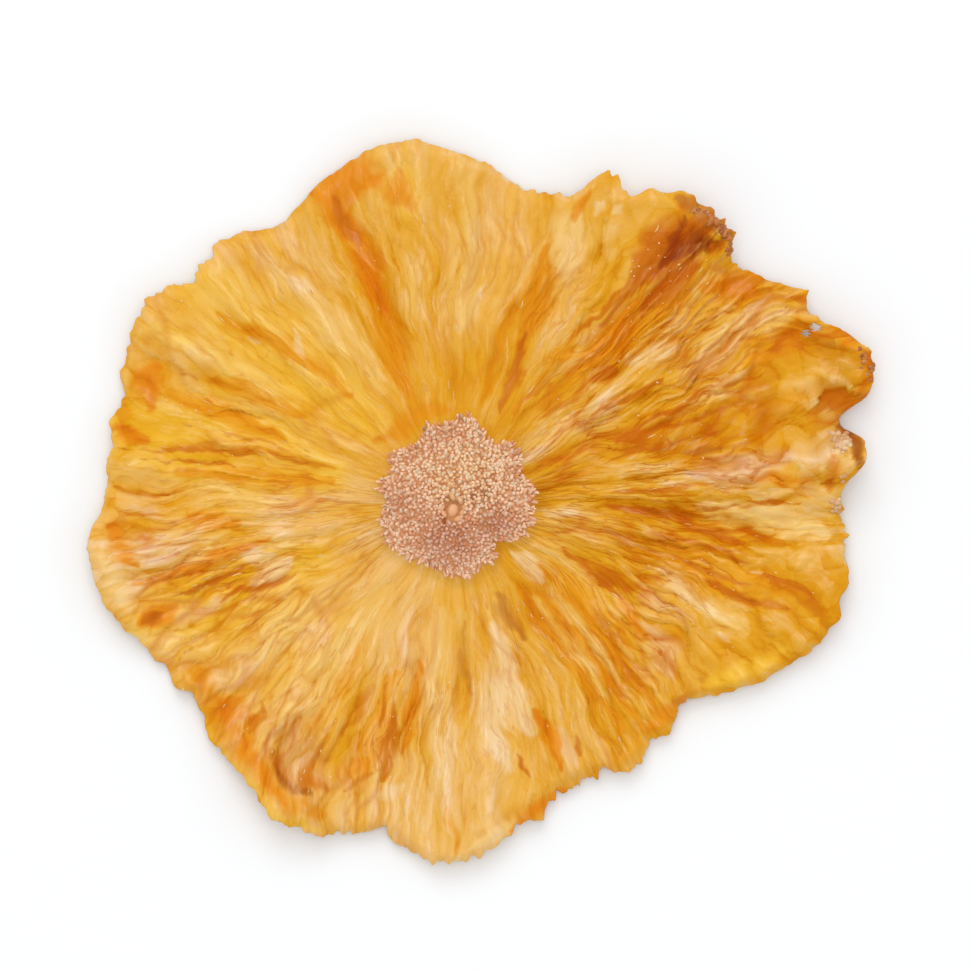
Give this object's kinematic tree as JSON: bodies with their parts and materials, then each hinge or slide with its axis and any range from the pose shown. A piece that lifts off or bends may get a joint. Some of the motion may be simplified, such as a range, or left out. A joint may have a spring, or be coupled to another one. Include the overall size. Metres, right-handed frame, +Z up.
{
  "type": "dried whole slice of pineapple with its core",
  "caption": "Thin lobed slice of dried pineapple, cut across the fruit with its pebbled core left in; pleated fibrous flesh that curls up at a ruffled rim. Lies flat as food or garnish.",
  "frame": {"origin": "centre of the bounding box in X and Y, on the table that the slice lies on", "axes": "+Z up, out of the shown cut face; +X along the longest reach of the slice; +Y across it"},
  "size_m": [0.0848, 0.0784, 0.0071],
  "materials": {
    "flesh": "translucent golden yellow dried fruit flesh, amber and brown in its creases, satin with small glossy fibres",
    "core": "pinkish beige fibre ends of the dried core, small glossy beads"
  },
  "bodies": {
    "root": {"dried_pineapple_slice": "flesh"}
  },
  "joints": []
}
